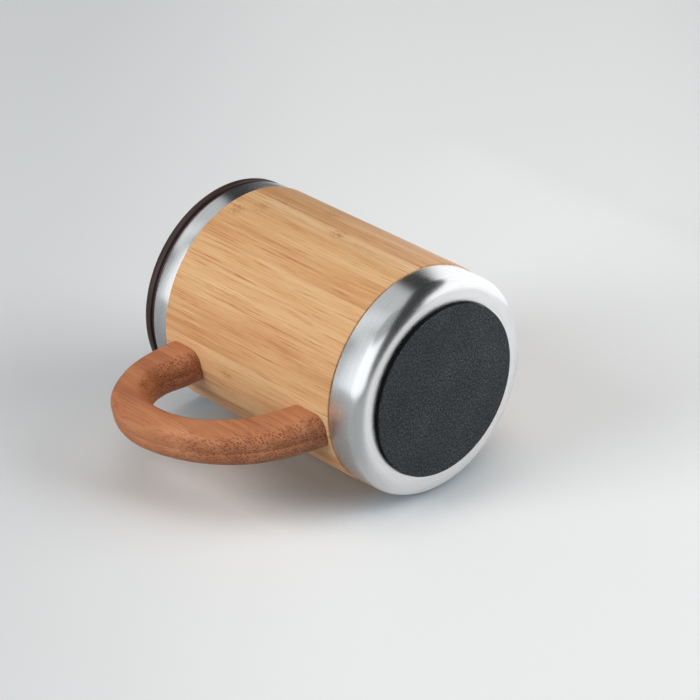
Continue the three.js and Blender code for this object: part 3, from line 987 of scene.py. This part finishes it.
def floor_finish():
    """Pale paper with painted falloff and a painted contact shadow for the eye, and painted reflection tones
    in mirrors.
    """
    finish = Finish("floor_paper")
    x, y, z = finish.place()
    reach = (x * x + y * y + z * z).math("SQRT")
    level = x * LEVEL.x + y * LEVEL.y
    sideways = z * -math.sin(CAMERA_TURN) - level * math.cos(CAMERA_TURN)
    off_middle = (sideways - FLOOR_MIDDLE).math("ABSOLUTE")
    # The paper darkens away from its middle line: painted light falloff.
    seen = finish.mix(finish.smooth(off_middle, FAR_START, FAR_END), FLOOR_COLOUR, FLOOR_PAINTED_FALLOFF)
    # Ambient occlusion darkens and cools the paper near the mug: a painted contact shadow.
    open_sky = finish.node("AmbientOcclusion", {"samples": 8}, {"Distance": CONTACT_REACH}, out="AO")
    seen = finish.mix(finish.smooth(open_sky, CONTACT_SHUT, CONTACT_OPEN), FLOOR_PAINTED_CONTACT_SHADOW, seen)
    # In mirrors the paper gets painted shadow towards the handle's side and painted dimming far past the
    # foot: painted reflection tones.
    painted_shadow_side = finish.smooth(level, SHADE_START, SHADE_END)
    painted_reflection = finish.mix(painted_shadow_side, FLOOR_MIRROR_PAINTED_LIGHT, FLOOR_MIRROR_PAINTED_SHADOW)
    painted_reflection = finish.mix(finish.smooth(z, DIM_START, DIM_END), painted_reflection, FLOOR_MIRROR_PAINTED_DIM)
    tone = finish.mix(finish.node("LightPath", out="Is Glossy Ray"), seen, painted_reflection)
    paper = finish.node("BsdfPrincipled", None, {"Base Color": tone, "Roughness": 0.75})
    clear = finish.node("BsdfTransparent")
    behind = finish.node("NewGeometry", out="Backfacing")
    gone = behind.math("MAXIMUM", finish.smooth(reach, RIM_FADE_START, RIM_FADE_END))
    return finish.ending(finish.node("MixShader", None, {0: gone, 1: paper, 2: clear}))


floor_shape = bmesh.new()
bmesh.ops.create_circle(floor_shape, cap_ends=True, radius=FLOOR_SIZE, segments=FLOOR_SEGMENTS)
lie = Matrix((TO_LID, LEVEL, FLOOR_UP)).transposed().to_4x4()
bmesh.ops.transform(floor_shape, matrix=lie, verts=floor_shape.verts)
bmesh.ops.translate(floor_shape, vec=-FLOOR_UP * SLEEVE_RADIUS * MM, verts=floor_shape.verts)
floor = placed("floor", floor_shape)
floor.data.materials.append(floor_finish())
floor.visible_diffuse = False
print("floor faces", [round(x, 2) for x in floor.data.polygons[0].normal])

# %% Lamps
LAMP_DISTANCE = 2.0
LAMP_AIM = lying(55 * MM, 0, 0)


def soft_box(name, direction, size, power):
    """A square lamp that looks at the mug. Shiny surfaces see the room's cards and the sheet in its place."""
    data = bpy.data.lights.new(name, "AREA")
    data.size = size
    data.energy = power
    lamp = bpy.data.objects.new(name, data)
    bpy.context.scene.collection.objects.link(lamp)
    away = direction.normalized() * LAMP_DISTANCE
    lamp.matrix_world = Matrix.Translation(LAMP_AIM + away) @ facing(-direction).to_4x4()
    lamp.visible_glossy = False


soft_box("left_box", lying(0.25, 0.85, 0.55), 1.0, 13)
soft_box("low_box", lying(0.3, 0.9, 0.22), 1.0, 14)
soft_box("key_box", lying(-0.75, -0.55, 0.5), 1.5, 24)
soft_box("top_box", lying(-0.1, 0, 1.0), 2.0, 12)
print("lamps:", [lamp.name for lamp in bpy.data.lights])

# %% [markdown]
# Steel near the right-hand box has to see it in perspective: the foot looks into it and the rim at the
# lid looks past its end. So that box is also a real bright sheet, which only shiny surfaces can see.

# %% Bright sheet
SHEET_START, SHEET_END = -400 * MM, 208 * MM
SHEET_LOW, SHEET_HIGH = -30 * MM, 240 * MM
SHEET_AWAY = -213 * MM
SHEET_LEVEL = 1.15


def sheet_glow():
    """Even white light."""
    finish = Finish("sheet_glow")
    glow = finish.node("Emission", None, {"Color": (1, 1, 1, 1), "Strength": SHEET_LEVEL})
    return finish.ending(glow)


sheet_shape = bmesh.new()
edge = sheet_shape.edges.new([
    sheet_shape.verts.new(lying(SHEET_START, SHEET_AWAY, SHEET_LOW)),
    sheet_shape.verts.new(lying(SHEET_END, SHEET_AWAY, SHEET_LOW)),
])
raised = bmesh.ops.extrude_edge_only(sheet_shape, edges=[edge])["geom"]
raised = [item for item in raised if isinstance(item, bmesh.types.BMVert)]
bmesh.ops.translate(sheet_shape, vec=FLOOR_UP * (SHEET_HIGH - SHEET_LOW), verts=raised)
sheet = placed("bright_sheet", sheet_shape)
sheet.data.materials.append(sheet_glow())
sheet.visible_camera = False
sheet.visible_diffuse = False
sheet.visible_shadow = False
print("sheet corners", len(sheet.data.vertices))

# %% [markdown]
# The room looks different to each kind of ray. The camera sees a plain pale grey. Matt surfaces get more
# light from below the horizon than from above it, as a white floor would give. Shiny surfaces see a dark
# studio with soft white cards, which give the steel its bright and dark bands. A card is its turn from the
# lid's side, half its width, its rise and half its height, in degrees, and then its level.

# %% World
WORLD_COLOUR = rgb(226, 228, 229)
LIGHT_BELOW, LIGHT_ABOVE = 0.42, 0.18
HORIZON_BLUR = 8
DARK_STUDIO = 0.05
CARD_EDGE = 4
CARDS = [
    (99, 55, 20, 26, 1.5),
    (99, 55, 70, 22, 0.45),
    (4, 32, 58, 34, 0.7),
    (23, 13, 40, 14, 0.5),
]


def studio_room():
    """The world, with its view for the camera, for matt surfaces and for shiny ones."""
    world = bpy.data.worlds.new("room")
    world.cycles.sampling_method = "NONE"
    room = Finish("room", world)
    look = room.node("TexCoord", out="Generated")

    def part(direction):
        """How far the ray goes along a direction."""
        return room.node("VectorMath", {"operation": "DOT_PRODUCT"}, {0: look, 1: direction}, out="Value")

    turn = part(LEVEL).math("ARCTAN2", part(TO_LID)).math("DEGREES")
    rise = part(FLOOR_UP).math("ARCSINE").math("DEGREES")

    def card(turn_middle, turn_half, rise_middle, rise_half, level):
        """The light of one soft-edged card."""
        across = (turn - turn_middle).math("ABSOLUTE")
        upward = (rise - rise_middle).math("ABSOLUTE")
        wide = room.smooth(across, turn_half + CARD_EDGE, turn_half - CARD_EDGE)
        return wide * room.smooth(upward, rise_half + CARD_EDGE, rise_half - CARD_EDGE) * level

    def grey(strength):
        """The room's grey at some strength."""
        return room.node("Background", None, {"Color": WORLD_COLOUR, "Strength": strength})

    studio = DARK_STUDIO
    for measures in CARDS:
        studio = studio + card(*measures)
    soft_light = room.smooth(rise, -HORIZON_BLUR, HORIZON_BLUR, LIGHT_BELOW, LIGHT_ABOVE)
    camera_ray = room.node("LightPath", out="Is Camera Ray")
    shiny_ray = room.node("LightPath", out="Is Glossy Ray")
    lit = room.node("MixShader", None, {0: shiny_ray, 1: grey(soft_light), 2: grey(studio)})
    shown = room.node("MixShader", None, {0: camera_ray, 1: lit, 2: grey(1.0)})
    return room.ending(shown, "OutputWorld")


bpy.context.scene.world = studio_room()
bpy.context.scene.view_settings.view_transform = "Standard"
print("world:", bpy.context.scene.world.name)
